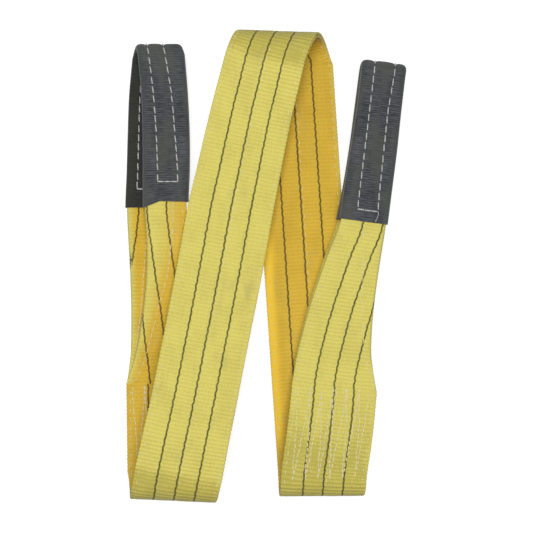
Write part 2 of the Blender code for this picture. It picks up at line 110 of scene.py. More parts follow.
RIGHT_BACK = [
    (118.7, -135.3, 27.8, -123.5, 19.85), (115.0, -110.8, 31.7, -100.0, 15.3),
    (113.4, -90.5, 36.0, -80.5, 12.0), (113.9, -55.5, 44.8, -46.5, 8.8),
    (117.2, -20.0, 55.6, -12.0, 8.3), (121.3, 9.7, 65.8, 17.0, 8.3),
    (125.6, 39.0, 76.4, 45.5, 8.3), (133.0, 76.7, 84.6, 83.0, 8.3),
    (139.3, 124.0, 92.5, 130.0, 6.4), (144.1, 165.0, 98.2, 171.0, 3.8),
    (149.5, 205.5, 103.6, 211.5, 1.7),
]
TIP = 10                  # station of the far end of an eye, in the four tables above
NECK_FROM, NECK_TO = 5.6, 6.7
SLEEVE_CUTS = (7.4, 8.6, 9.4)
LAST_STRAIGHT = 9.97
LEG_B_PARTS = 3
WEDGES = 3                # links of a return fold
LEAD = 16.0               # length of leg that a fold's end pieces take along
FLAT_POINTS = 23          # mesh points on one flat side of a sleeve's section
ROUND_ANGLES = (60.0, 30.0, 0.0, -30.0, -60.0)
SEAM_PITCH = 10.2
SLEEVE_PITCH, SLEEVE_STITCH = 10.4, 8.4
FIRST_STITCH = 4.9        # from the closing row to the middle of the next stitch

# ---- looks ----
# how golden the inner face of the strap is, from 0, yellow, to 1, and below it the outer face: painted
# bounce light and shade
INNER_BOUNCE = {"strap_a": 0.95, "fold_ab": 0.8, "strap_b": 0.6, "fold_bc": 1.0, "strap_c": 1.0,
              "fold_cd": 0.8, "strap_d": 0.6}
OUTER_BOUNCE = {"strap_a": 0.2, "fold_ab": 0.0, "strap_b": 0.0, "fold_bc": 0.0, "strap_c": 0.2,
              "fold_cd": 0.0, "strap_d": 0.0}
# rows of sewing along a sleeve: (y of the selvedge, share of the width), two rows each
LANES = {
    "left_front": [(62.0, 0.19, 0.67), (105.0, 0.23, 0.685), (145.0, 0.29, 0.715),
                   (187.0, 0.33, 0.75), (228.0, 0.40, 0.775)],
    "right_front": [(45.5, 0.33, 0.79), (83.0, 0.315, 0.755), (130.0, 0.285, 0.72),
                    (171.0, 0.267, 0.71), (211.5, 0.27, 0.76)],
    "left_back": [(62.0, 0.3, 0.765), (187.0, 0.34, 0.765), (228.0, 0.40, 0.775)],
    "right_back": [(62.0, 0.3, 0.765), (211.5, 0.27, 0.76)],
}
CLOSED_AFTER = {"left_front": 22.0, "left_back": 19.8, "right_front": 13.0, "right_back": 15.0}
# seam of the folded edge on the left front ply: (distance from the splice, inset)
LEFT_SEAM = [(0.0, 6.0), (6.5, 9.8), (23.5, 11.6), (60.0, 14.0), (87.5, 16.6), (119.5, 23.0),
             (153.5, 26.6), (176.5, 30.2), (200.0, 31.0)]
RIGHT_SEAM = [(0.0, 2.5), (200.0, 26.5)]
BACK_SEAM = [(0.0, 3.0), (38.0, 6.4), (52.0, 7.6), (86.0, 12.0), (116.0, 14.7), (200.0, 26.0)]
# left front ply: inset where the golden tone, painted bounce light and shade, begins,
# and width over which it grows, by distance from the splice
GOLDEN_FROM = [(0.0, 1.0), (38.0, 2.0), (114.0, 7.0), (166.0, 12.0), (200.0, 14.0)]
GOLDEN_OVER = [(0.0, 6.0), (38.0, 7.0), (114.0, 14.0), (166.0, 26.0), (200.0, 30.0)]
FOLD_SEAMS = {"left_front": LEFT_SEAM, "left_back": BACK_SEAM, "right_front": RIGHT_SEAM}
STRIPE_SHIFT = {"left_front": 2.4, "left_back": 4.5, "right_front": 0.0, "right_back": 0.0}
WEAVE_SEED = {"left_front": 4.0, "left_back": 1.0, "right_front": 1.0, "right_back": 4.0}


# ---- curves ----
def unit(vec):
    vec = np.asarray(vec, float)
    return vec / np.linalg.norm(vec)


def rows_unit(a):
    return a / np.maximum(np.linalg.norm(a, axis=-1, keepdims=True), 1e-9)


def smooth_curve(points, t, leave=None, arrive=None):
    """Catmull-Rom value at station number t."""
    pts = np.asarray(points, float)
    first = 2.0 * pts[0] - pts[1]
    last = 2.0 * pts[-1] - pts[-2]
    if leave is not None:
        first = pts[1] - 2.0 * leave * np.linalg.norm(pts[1] - pts[0])
    if arrive is not None:
        last = pts[-2] + 2.0 * arrive * np.linalg.norm(pts[-1] - pts[-2])
    ext = np.vstack([first, pts, last])
    i = int(min(max(math.floor(t), 0), len(pts) - 2))
    x = t - i
    p0, p1, p2, p3 = ext[i], ext[i + 1], ext[i + 2], ext[i + 3]
    return 0.5 * (2.0 * p1 + (p2 - p0) * x + (2.0 * p0 - 5.0 * p1 + 4.0 * p2 - p3) * x * x
                  + (3.0 * p1 - p0 - 3.0 * p2 + p3) * x ** 3)


def straight(start, end):
    a = np.asarray(start, float)
    b = np.asarray(end, float)

    def at(t):
        both = a + (b - a) * t
        return both[0], both[1]

    return at


def fold(spec, upward):
    def edge(y_axis, radius, x_low, x_high, angle):
        share = (angle + math.pi / 2.0) / math.pi
        x = x_low + (x_high - x_low) * share
        y = y_axis + spec["out"] * radius * math.cos(angle)
        return np.array([x, y, HALF + radius + radius * math.sin(angle)])

    def at(t):
        angle = -math.pi / 2.0 + math.pi * (t if upward else 1.0 - t)
        return edge(*spec["west"], angle), edge(*spec["east"], angle)

    return at


def heading(piece, t0, t1):
    w0, e0 = piece(t0)
    w1, e1 = piece(t1)
    return unit(w1 - w0), unit(e1 - e0)


def leg_between(before, middle_west, middle_east, after):
    leave = heading(before, 0.999, 1.0)
    start = before(1.0)
    if callable(after):
        end = after(0.0)
        arrive = heading(after, 0.0, 0.001)
    else:
        end = [np.array(p) for p in after]
        arrive = (unit(STRAP_D_ARRIVES), unit(STRAP_D_ARRIVES))
    west = [start[0]] + [np.array(p) for p in middle_west] + [end[0]]
    east = [start[1]] + [np.array(p) for p in middle_east] + [end[1]]
    n = len(west) - 1

    def at(t):
        return (smooth_curve(west, t * n, leave[0], arrive[0]),
                smooth_curve(east, t * n, leave[1], arrive[1]))

    return at


def strap_pieces():
    ab, bc, cd = fold(FOLD_AB, True), fold(FOLD_BC, False), fold(FOLD_CD, True)
    return [
        ("strap_a", straight(STRAP_A_TOP, ab(0.0))), ("fold_ab", ab),
        ("strap_b", leg_between(ab, STRAP_B_WEST, STRAP_B_EAST, bc)), ("fold_bc", bc),
        ("strap_c", straight(bc(1.0), cd(0.0))), ("fold_cd", cd),
        ("strap_d", leg_between(cd, STRAP_D_WEST, STRAP_D_EAST, STRAP_D_TOP)),
    ]


def fold_shade_share(s):
    """Share of painted shade on the outer face of the return folds at distance s."""
    wear_and_shade = np.zeros_like(s)
    for name in ("fold_ab", "fold_bc", "fold_cd"):
        start, end = STRAP.ends[name]
        away = np.maximum(np.maximum(start - s, s - end), 0.0)
        wear_and_shade = np.maximum(wear_and_shade, np.clip(1.0 - away / 16.0, 0.0, 1.0))
    return wear_and_shade


def bright_edge(s):
    """Share of painted glow, as from light between plies, on the west edge of leg c."""
    start, end = STRAP.ends["strap_c"]
    place = (s - start) / (end - start)
    return np.clip((place - 0.25) / 0.2, 0.0, 1.0) * np.clip((1.0 - place) / 0.1, 0.0, 1.0)


# ---- the whole strap as rows of one regular grid ----
class Strap:
    """West and east edges sampled at even distances along the centre line."""

    def __init__(self):
        west, east, self.ends = [], [], {}
        length = 0.0
        last = None
        stations = []
        for name, piece in strap_pieces():
            begin = length
            for k in range(401):
                w, e = piece(k / 400.0)
                mid = (w + e) / 2.0
                if last is not None:
                    length += float(np.linalg.norm(mid - last))
                if last is None or k > 0:
                    west.append(w)
                    east.append(e)
                    stations.append(length)
                last = mid
            self.ends[name] = (begin, length)
        west, east, stations = np.array(west), np.array(east), np.array(stations)
        self.length = length
        self.count = int(round(length / STEP))
        self.s = np.linspace(0.0, length, self.count + 1)
        fine = lambda a: np.stack([np.interp(self.s, stations, a[:, i]) for i in range(3)], 1)
        self.west, self.east = fine(west), fine(east)
        mid = (self.west + self.east) / 2.0
        self.tangent = rows_unit(np.gradient(mid, axis=0))
        self.skew = np.einsum("ij,ij->i", self.east - self.west, self.tangent)

    def row(self, s):
        return int(round(np.clip(s / self.length, 0.0, 1.0) * self.count))

    def normals(self, v):
        along = (np.gradient(self.west, axis=0) * (1.0 - v)
                 + np.gradient(self.east, axis=0) * v)
        return rows_unit(np.cross(self.east - self.west, along))


STRAP = Strap()


def bounce_along(s, outer):
    """Golden share of one face of the strap at distance s, which is painted bounce light and shade."""
    bounce_table = OUTER_BOUNCE if outer else INNER_BOUNCE
    places = [(STRAP.ends[n][0] + STRAP.ends[n][1]) / 2.0 for n in bounce_table]
    return np.interp(s, places, list(bounce_table.values()))


def wander(s, v, seed):
    """Slow, repeatable unevenness between -1 and 1."""
    a = np.sin(s * 0.071 + v * 0.043 + seed * 1.7)
    b = np.sin(s * 0.029 - v * 0.067 + seed * 2.9)
    c = np.sin(s * 0.163 + v * 0.021 + seed * 0.6)
    return (a + b + 0.6 * c) / 2.6


def rib_phase(s, v, seed):
    """Distance along the weave with the ribs slightly bowed and uneven."""
    bow = 0.9 * np.cos(v / WEB * math.pi) + 0.5 * wander(s * 0.6, v * 0.8, seed)
    return s + bow


def stitched(s):
    """Share of the splice sewing at distance s: the ribs stand up between its stitches."""
    reach = np.minimum(s, STRAP.length - s)
    return np.clip((reach - 4.0) / 90.0, 0.0, 1.0) * np.clip((118.0 - reach) / 8.0, 0.0, 1.0)


def rib_height(phase, s, v):
    """Height of the weave under its highest point, in millimetres."""
    wave = 0.5 - 0.5 * np.cos(phase * 2.0 * math.pi / RIB)
    seam = np.zeros_like(v)
    for at in SEAMS:
        seam = seam + np.exp(-((v - at) / 0.9) ** 2)
    for at in STRIPES:
        seam = seam + 0.35 * np.exp(-((v - at) / 1.0) ** 2)
    return -(0.34 + 0.36 * stitched(s)) * wave - 0.28 * seam


# ---- mesh collecting ----
class Build:
    """Vertices, faces, material numbers and the flat weave coordinates of one piece."""

    def __init__(self):
        self.verts, self.faces, self.mats, self.flat = [], [], [], []
        self.count = 0

    def add(self, verts, faces, flat, mats):
        verts = np.asarray(verts, float).reshape(-1, 3)
        flat = np.asarray(flat, float).reshape(-1, 3)
        self.verts.append(verts)
        self.flat.append(flat)
        self.faces.append(np.asarray(faces, int) + self.count)
        self.mats.append(np.asarray(mats, int))
        self.count += len(verts)

    def loft(self, grid, flat, mats, caps=(False, False)):
        """Closed sections; grid is (rows, points, 3) and mats has one number a point."""
        n, m = grid.shape[:2]
        i, j = np.meshgrid(np.arange(n - 1), np.arange(m), indexing="ij")
        k = (j + 1) % m
        quads = np.stack([i * m + j, i * m + k, (i + 1) * m + k, (i + 1) * m + j], -1)
        index = np.broadcast_to(np.asarray(mats)[j], j.shape)
        self.add(grid, quads.reshape(-1, 4), flat, index.reshape(-1))
        for end, wanted in enumerate(caps):
            if wanted:
                self.cap(grid[0 if end == 0 else n - 1], flat[0 if end == 0 else n - 1], mats)

    def cap(self, loop, flat, mats):
        m = len(loop)
        faces = []
        for j in range(1, m // 2):
            faces.append((j, j + 1, m - j - 1, m - j) if j + 1 < m - j - 1 else (j, j + 1, m - j, m - j))
        faces = [f for f in faces if len(set(f)) == 4]
        if faces:
            self.add(loop, faces, flat, [mats[f[0]] for f in faces])

    def threads(self, centres, along, normal, length, width, height, mat):
        """Short raised stitches, one for each centre."""
        along, normal = rows_unit(np.asarray(along)), rows_unit(np.asarray(normal))
        side = rows_unit(np.cross(normal, along))
        centres = np.asarray(centres)
        profile = [(-1.0, 0.25), (-0.78, 0.85), (0.0, 1.0), (0.78, 0.85), (1.0, 0.25)]
        ring = [(math.cos(a), math.sin(a)) for a in np.radians([0, 45, 90, 135, 180])]
        grid = np.array([(x * length / 2.0, cy * width / 2.0 * scale, (cz * scale - 0.25) * height)
                         for x, scale in profile for cy, cz in ring])
        pts = (centres[:, None, :] + along[:, None, :] * grid[None, :, 0:1]
               + side[:, None, :] * grid[None, :, 1:2] + normal[:, None, :] * grid[None, :, 2:3])
        r = len(ring)
        faces = np.array([(a * r + b, a * r + b + 1, (a + 1) * r + b + 1, (a + 1) * r + b)
                          for a in range(len(profile) - 1) for b in range(r - 1)])
        count = len(centres)
        every = (faces[None] + (np.arange(count) * len(grid))[:, None, None]).reshape(-1, 4)
        coords = np.zeros((count * len(grid), 3))
        coords[:, 0] = np.repeat(np.arange(count) * 3.7, len(grid))
        self.add(pts, every, coords, np.full(len(every), mat))

    def to_object(self, name, materials):
        verts = (np.concatenate(self.verts) - CENTRE) * MM
        faces = np.concatenate(self.faces)
        mesh = bpy.data.meshes.new(name)
        mesh.from_pydata(verts.tolist(), [], faces.tolist())
        mesh.polygons.foreach_set("material_index", np.concatenate(self.mats).astype(np.int32))
        mesh.polygons.foreach_set("use_smooth", np.full(len(faces), True))
        flat = mesh.attributes.new("flat", "FLOAT_VECTOR", "POINT")
        flat.data.foreach_set("vector", np.concatenate(self.flat).astype(np.float32).reshape(-1))
        for mat in materials:
            mesh.materials.append(mat)
        mesh.update()
        mesh.validate()
        obj = bpy.data.objects.new(name, mesh)
        bpy.context.scene.collection.objects.link(obj)
        return obj


# ---- materials ----
class Nodes:
    """Short helpers for building a material's node tree."""

    def __init__(self, name):
        self.mat = bpy.data.materials.new(name)
        self.mat.use_nodes = True
        self.tree = self.mat.node_tree
        self.shader = self.tree.nodes["Principled BSDF"]

    def new(self, kind, **settings):
        node = self.tree.nodes.new(kind)
        for key, value in settings.items():
            setattr(node, key, value)
        return node

    def feed(self, socket, value):
        if isinstance(value, bpy.types.NodeSocket):
            self.tree.links.new(value, socket)
        else:
            socket.default_value = value

    def math(self, operation, a, b=0.0, c=0.0, clamp=False):
        node = self.new("ShaderNodeMath", operation=operation, use_clamp=clamp)
        for socket, value in zip(node.inputs, (a, b, c)):
            self.feed(socket, value)
        return node.outputs[0]

    def times(self, a, b, clamp=False):
        return self.math("MULTIPLY", a, b, clamp=clamp)

    def plus(self, a, b, clamp=False):
        return self.math("ADD", a, b, clamp=clamp)

    def minus(self, a, b, clamp=False):
        return self.math("SUBTRACT", a, b, clamp=clamp)

    def scaled(self, value, gain, offset):
        return self.math("MULTIPLY_ADD", value, gain, offset)

    def mix(self, factor, a, b):
        node = self.new("ShaderNodeMix", data_type="RGBA")
        self.feed(node.inputs[0], factor)
        self.feed(node.inputs[6], a)
        self.feed(node.inputs[7], b)
        return node.outputs[2]

    def noise(self, vector, scale, detail=2.0):
        node = self.new("ShaderNodeTexNoise")
        self.feed(node.inputs["Vector"], vector)
        node.inputs["Scale"].default_value = scale
        node.inputs["Detail"].default_value = detail
        return node.outputs["Fac"]

    def field(self, s, v, along, across, seed, detail=2.0):
        """Noise stretched along and across the weave."""
        place = self.combine(self.times(s, along), self.times(v, across), seed)
        return self.noise(place, 1.0, detail)

    def ramp(self, value, low, high):
        node = self.new("ShaderNodeMapRange", interpolation_type="SMOOTHSTEP")
        self.feed(node.inputs["Value"], value)
        node.inputs["From Min"].default_value = low
        node.inputs["From Max"].default_value = high
        return node.outputs[0]

    def combine(self, x, y, z):
        node = self.new("ShaderNodeCombineXYZ")
        for socket, value in zip(node.inputs, (x, y, z)):
            self.feed(socket, value)
        return node.outputs[0]

    def flat(self):
        node = self.new("ShaderNodeAttribute", attribute_name="flat")
        split = self.new("ShaderNodeSeparateXYZ")
        self.feed(split.inputs[0], node.outputs["Vector"])
        return tuple(split.outputs)

    def bump(self, height, distance, strength):
        node = self.new("ShaderNodeBump")
        node.inputs["Distance"].default_value = distance
        node.inputs["Strength"].default_value = strength
        self.feed(node.inputs["Height"], height)
        self.feed(self.shader.inputs["Normal"], node.outputs["Normal"])


    def surface(self, colour, rough, specular, sheen=0.0, sheen_rough=0.5):
        self.feed(self.shader.inputs["Base Color"], colour)
        self.shader.inputs["Roughness"].default_value = rough
        self.shader.inputs["Specular IOR Level"].default_value = specular
        self.shader.inputs["Sheen Weight"].default_value = sheen
        self.shader.inputs["Sheen Roughness"].default_value = sheen_rough


def rgb(r, g, b):
    return (r, g, b, 1.0)


def webbing_material(name, yellow, yellow_deep, olive, golden, golden_deep,
                     bright, stripe, soil):
    """Ribbed polyester webbing; flat holds weave distance, place across, and golden share, the share
    being painted bounce light and shade.
    """
    n = Nodes(name)
    s, v, golden_share = n.flat()
    turn = n.times(s, 2.0 * math.pi / RIB)
    ridge = n.scaled(n.math("COSINE", turn), 0.5, 0.5)
    valley = n.minus(1.0, ridge)
    # short warp floats, staggered by half a step on every other rib
    stagger = n.times(n.math("PINGPONG", n.math("DIVIDE", s, RIB), 1.0), math.pi)
    floats = n.math("SINE", n.plus(n.times(v, 2.0 * math.pi / FLOAT_PITCH), stagger))
    floats = n.times(n.scaled(floats, 0.5, 0.5), ridge)
    blotch = n.field(s, v, 0.035, 0.045, 0.0, 3.0)
    streak = n.field(s, v, 0.01, 0.9, 3.0)
    fleck = n.field(s, v, 0.75, 0.55, 7.0, 3.0)
    uneven = n.field(s, v, 0.12, 0.12, 11.0)
    # darker rib valleys are painted shade; blotch, streak and fleck add random tone
    shade = n.times(n.ramp(valley, 0.2, 1.0), n.scaled(uneven, 0.36, 0.02))
    for value, low, high, share in ((blotch, 0.35, 0.75, 0.24), (streak, 0.3, 0.8, 0.14),
                                    (fleck, 0.35, 0.75, 0.3)):
        shade = n.plus(shade, n.times(n.ramp(value, low, high), share))
    shade = n.minus(shade, n.times(floats, 0.14), clamp=True)
    # a golden share above one is painted glow, blended towards the bright colour
    warm = n.mix(n.ramp(golden_share, 1.0, 1.6), n.mix(shade, golden, golden_deep), bright)
    # a share below zero is cloth in shade: more olive, with deeper ribs
    painted_shade = n.ramp(n.times(golden_share, -1.0), 0.0, 1.0)
    rib_shade = n.times(shade, n.scaled(painted_shade, 2.4, 1.0), clamp=True)
    cool = n.mix(rib_shade, n.mix(n.times(painted_shade, 0.45), yellow, olive), yellow_deep)
    colour = n.mix(golden_share, cool, warm)
    grime = n.times(n.ramp(n.field(s, v, 0.022, 0.05, 21.0, 4.0), 0.56, 0.8), 0.42)
    colour = n.mix(grime, colour, soil)
    # marker stripes that wander a little and kink at every rib
    wobble = n.noise(n.combine(n.times(s, 0.09), 0.0, 5.0), 1.0, 1.0)
    kink = n.times(n.math("SINE", n.times(turn, 0.5)), 0.3)
    place = n.plus(v, n.plus(n.scaled(wobble, 1.6, -0.8), kink))
    dark = None
    for at in STRIPES:
        away = n.math("ABSOLUTE", n.minus(place, at))
        line = n.minus(1.0, n.ramp(away, 0.55, 1.35))
        dark = line if dark is None else n.math("MAXIMUM", dark, line)
    wear_and_shade = n.scaled(n.field(s, v, 0.06, 0.05, 15.0), -0.35, 1.1)
    dark = n.times(dark, n.minus(wear_and_shade, n.times(valley, 0.18)), clamp=True)
    n.surface(n.mix(dark, colour, stripe), 0.72, 0.28, sheen=0.12, sheen_rough=0.5)
    height = n.math("MULTIPLY_ADD", ridge, 0.5, n.times(floats, 0.45))
    height = n.plus(height, n.times(fleck, 0.3))
    n.bump(n.minus(height, n.times(dark, 0.2)), 0.0005, 0.8)
    return n.mat


def sleeve_material(name, face, low, warm, rim_colour):
    """Dull grey coated sleeve: fine ribs across it, slubs, clouds of wear and pale rims, the rims being
    painted highlight.
    """
    n = Nodes(name)
    s, v, edge = n.flat()
    weft = n.math("SINE", n.times(s, 2.0 * math.pi / 2.5))
    warp = n.math("SINE", n.times(v, 2.0 * math.pi / 1.6))
    weave = n.scaled(n.times(warp, weft), 0.5, 0.5)
    ribs = n.scaled(weft, 0.5, 0.5)
    cloud = n.field(s, v, 0.03, 0.05, 1.0, 3.0)
    slub = n.field(s, v, 0.95, 0.09, 2.0, 3.0)
    fleck = n.field(s, v, 0.6, 0.6, 4.0, 3.0)
    shade = n.times(n.ramp(cloud, 0.3, 0.72), 0.3)
    shade = n.plus(shade, n.times(ribs, 0.34))
    shade = n.plus(shade, n.times(n.ramp(slub, 0.34, 0.66), 0.5))
    shade = n.plus(shade, n.times(n.ramp(fleck, 0.3, 0.75), 0.2), clamp=True)
    tint = n.ramp(n.field(s, v, 0.018, 0.07, 9.0), 0.42, 0.66)
    colour = n.mix(n.times(tint, 0.6), n.mix(shade, face, low), warm)
    pale = n.times(n.ramp(n.field(s, v, 0.5, 0.03, 13.0, 3.0), 0.66, 0.8), 0.3)
    colour = n.mix(pale, colour, rim_colour)
    # pale rims on the rounded edges, broken by flecks: painted highlight
    rim = n.times(n.ramp(edge, 0.55, 1.0), n.scaled(fleck, 0.8, 0.3))
    n.surface(n.mix(rim, colour, rim_colour), 0.82, 0.22, sheen=0.12, sheen_rough=0.6)
    height = n.plus(n.times(weave, 0.5), n.times(slub, 0.6))
    n.bump(n.plus(height, n.times(ribs, 0.3)), 0.00035, 0.7)
    return n.mat


def thread_material(name, colour, shade):
    """Twisted polyester sewing thread."""
    n = Nodes(name)
    coords = n.new("ShaderNodeTexCoord").outputs["Object"]
    fleck = n.noise(coords, 900.0, 2.0)
    tone = n.noise(coords, 60.0, 1.0)
    mixed = n.mix(n.ramp(fleck, 0.35, 0.7), colour, shade)
    mixed = n.mix(n.times(n.ramp(tone, 0.4, 0.7), 0.35), mixed, shade)
    n.surface(mixed, 0.6, 0.3)
    n.bump(fleck, 0.0002, 0.4)
    return n.mat


WEBBING = webbing_material(
    "webbing", yellow=rgb(0.752, 0.663, 0.153), yellow_deep=rgb(0.50, 0.43, 0.08),
    olive=rgb(0.50, 0.43, 0.075), golden=rgb(0.715, 0.47, 0.042),
    golden_deep=rgb(0.50, 0.30, 0.020),
    bright=rgb(0.92, 0.60, 0.04), stripe=rgb(0.030, 0.028, 0.008), soil=rgb(0.38, 0.35, 0.13))
SLEEVE_OUT = sleeve_material("sleeve_face", rgb(0.114, 0.120, 0.129), rgb(0.029, 0.031, 0.036),
                             rgb(0.083, 0.087, 0.074), rgb(0.21, 0.21, 0.20))
# darker copy of the sleeve cloth: painted shade, on the inner walls and on the loop side of the back
# branches
SLEEVE_SHADED = sleeve_material("sleeve_in_shade", rgb(0.046, 0.046, 0.040), rgb(0.018, 0.018, 0.015),
                            rgb(0.036, 0.035, 0.027), rgb(0.11, 0.11, 0.10))
THREAD_PALE = thread_material("thread_white", rgb(0.60, 0.59, 0.57), rgb(0.38, 0.37, 0.36))
THREAD_WEB = thread_material("thread_on_webbing", rgb(0.76, 0.70, 0.44), rgb(0.60, 0.53, 0.28))
MATERIALS = [WEBBING, THREAD_WEB, SLEEVE_OUT, SLEEVE_SHADED, THREAD_PALE]
CLOTH, SEW, COVER, COVER_IN_SHADE, WHITE = range(5)


# ---- strap pieces ----
# section of a ply: place across, and height as "top" or a share of the ply
TOP_COLUMNS = (-44.1, -42.4, -41.3, -40.6, -39.9, -38.6, -33.0, -27.0, -21.0, -15.0, -8.0, 0.0,
               1.8, 2.6, 3.4, 8.0, 15.0, 21.0, 27.0, 33.0, 38.6, 39.9, 40.6, 41.3, 42.4, 44.1)
EAST_EDGE = ((44.85, 0.82), (45.0, 0.5), (44.85, 0.18))
UNDER = ((43.6, 0.0), (15.0, 0.0), (-15.0, 0.0), (-43.6, 0.0))
WEST_EDGE = ((-44.85, 0.18), (-45.0, 0.5), (-44.85, 0.82))
SECTION = [(v, "top") for v in TOP_COLUMNS] + [*EAST_EDGE, *UNDER, *WEST_EDGE]


def ply_rows(first, last, outer, seed):
    """Closed sections of one ply for grid rows first..last, and its weave coordinates."""
    side = 1.0 if outer else -1.0
    index = np.arange(first, last + 1)
    s = STRAP.s[index]
    grid = np.zeros((len(index), len(SECTION), 3))
    flat = np.zeros_like(grid)
    for j, (v, h) in enumerate(SECTION):
        share = v / WEB + 0.5
        s_here = s + (share - 0.5) * STRAP.skew[index]
        phase = rib_phase(s_here, v, seed)
        scallop = 0.28 * np.cos(phase * 2.0 * math.pi / RIB) if abs(v) > 44.0 else 0.0
        place = share + math.copysign(1.0, v) * scallop / WEB
        base = STRAP.west[index] + (STRAP.east - STRAP.west)[index] * (
            place[:, None] if np.ndim(place) else place)
        normal = STRAP.normals(share)[index]
        if h == "top":
            rise = HALF + rib_height(phase, s_here, np.full_like(s_here, v))
            rise = rise + 0.12 * wander(s_here, v * 1.3, seed + 3.0)
            rise = rise - 0.35 * max(0.0, (abs(v) - 43.5))
        else:
            rise = np.full(len(index), 0.2 + h * (HALF - 0.35))
        grid[:, j] = base + normal * (side * rise)[:, None]
        flat[:, j, 0] = phase
        flat[:, j, 1] = v
        # golden share: painted bounce light and shade of this face; at the west edge of leg c, painted
        # glow
        golden = bounce_along(s_here, outer == (h != 0.0))
        # the outer face gets painted shade at the return folds and over the splice sewing
        if outer:
            golden = golden - np.maximum(fold_shade_share(s_here), 0.8 * stitched(s_here))
        golden = golden * (1.0 - 0.45 * np.clip((v - 40.5) / 4.0, 0.0, 1.0))
        west_edge = np.clip((-30.0 - v) / 9.0, 0.0, 1.0)
        flat[:, j, 2] = golden * (1.0 + 0.55 * west_edge * bright_edge(s_here))
    return grid, flat


def seam_threads(build, first, last, outer):
    """Dashed rows of sewing along the strap on one face."""
    side = 1.0 if outer else -1.0
    for number, v in enumerate(SEAMS):
        share = v / WEB + 0.5
        s0, s1 = STRAP.s[first], STRAP.s[last]
        begin = math.ceil((s0 - 1.3 * number) / SEAM_PITCH)
        marks = [k * SEAM_PITCH + 1.3 * number for k in range(begin, int(s1 / SEAM_PITCH) + 2)]
        rows = [STRAP.row(m) for m in marks if s0 + 3.0 < m < s1 - 3.0]
        if not rows:
            continue
        rows = np.array(rows)
        line = STRAP.west + (STRAP.east - STRAP.west) * share
        along = np.gradient(line, axis=0)[rows]
        normal = STRAP.normals(share)[rows] * side
        build.threads(line[rows] + normal * (HALF - 0.42), along, normal, 5.0, 0.8, 0.36, SEW)


def strap_piece(name, s0, s1, caps=(False, False)):
    first, last = STRAP.row(s0), STRAP.row(s1)
    build = Build()
    for outer in (True, False):
        grid, flat = ply_rows(first, last, outer, 1.0 if outer else 4.0)
        build.loft(grid, flat, [CLOTH] * len(SECTION), caps)
        seam_threads(build, first, last, outer)
    obj = build.to_object(name, MATERIALS)
    return obj, first, last


def build_strap():
    """Four legs, each on its own body, and three folds of four pieces each."""
    ends = STRAP.ends
    legs = {"strap_a": (0.0, ends["strap_a"][1] - LEAD),
            "strap_b": (ends["strap_b"][0] + LEAD, ends["strap_b"][1] - LEAD),
            "strap_c": (ends["strap_c"][0] + LEAD, ends["strap_c"][1] - LEAD),
            "strap_d": (ends["strap_d"][0] + LEAD, ends["strap_d"][1])}
    for name, (s0, s1) in legs.items():
        obj = strap_piece(name + "_web", s0, s1, (name == "strap_a", name == "strap_d"))[0]
        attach(obj, name)
        made_in = [f"{name}_{k + 1}" for k in range(LEG_B_PARTS)] if name == "strap_b" else [name]
        for part in made_in:
            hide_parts(part + "_outer_ply", part + "_inner_ply")
    for name, before, after in (("fold_ab", "strap_a", "strap_b"), ("fold_bc", "strap_b", "strap_c"),
                                ("fold_cd", "strap_c", "strap_d")):
        s0, s1 = ends[name]
        wedge = (s1 - s0) / WEDGES
        cuts = [s0 - LEAD] + [s0 + wedge * (k + 0.5) for k in range(WEDGES)] + [s1 + LEAD]
        for k in range(WEDGES + 1):
            obj, first, last = strap_piece(f"{name}_bend_{k + 1}", cuts[k], cuts[k + 1])
            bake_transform(obj)
            if k < WEDGES:
                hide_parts(f"{name}_{k + 1}_outer_ply", f"{name}_{k + 1}_inner_ply")


# ---- eyes: a band folded to half width, inside a sleeve ----
def eye_state(table, t, outward):
    row = smooth_curve(table, t)
    row[4] = max(row[4], 0.0)
    fold_edge = np.array([row[0], row[1], row[4]])
    selvedge = np.array([row[2], row[3], row[4]])
    across = unit(fold_edge - selvedge)
    near, far = smooth_curve(table, t - 0.05), smooth_curve(table, t + 0.05)
    if t > TIP - 0.5:
        run = np.array([0.0, 1.0, 0.0])
    else:
        run = unit(np.array([far[0] + far[2] - near[0] - near[2],
                             far[1] + far[3] - near[1] - near[3], 2.0 * (far[4] - near[4])]))
    normal = unit(np.cross(run, across))
    if normal[2] * outward < 0.0:
        normal = -normal
    width = float(np.linalg.norm(fold_edge - selvedge))
    if t < len(TAPER) - 1:
        thick, folded = smooth_curve(TAPER, t)
    else:
        thick, folded = FOLDED, min(35.0 + 3.0 * (t - 5.0), 38.0)
    return selvedge, across, normal, width, min(max(thick, 3.02), FOLDED), folded


def eye_path(table, outward, t0, t1, step):
    """States at even distances, with the distance from the splice."""
    fine = np.linspace(0.0, TIP, 801)
    mids = []
    for t in fine:
        row = smooth_curve(table, t)
        mids.append(((row[0] + row[2]) / 2.0, (row[1] + row[3]) / 2.0, row[4]))
    gone = np.concatenate([[0.0], np.cumsum(np.linalg.norm(np.diff(mids, axis=0), axis=1))])
    d0, d1 = np.interp([t0, t1], fine, gone)
    count = max(int(round((d1 - d0) / step)), 2)
    dist = np.linspace(d0, d1, count + 1)
    return [eye_state(table, t, outward) for t in np.interp(dist, gone, fine)], dist


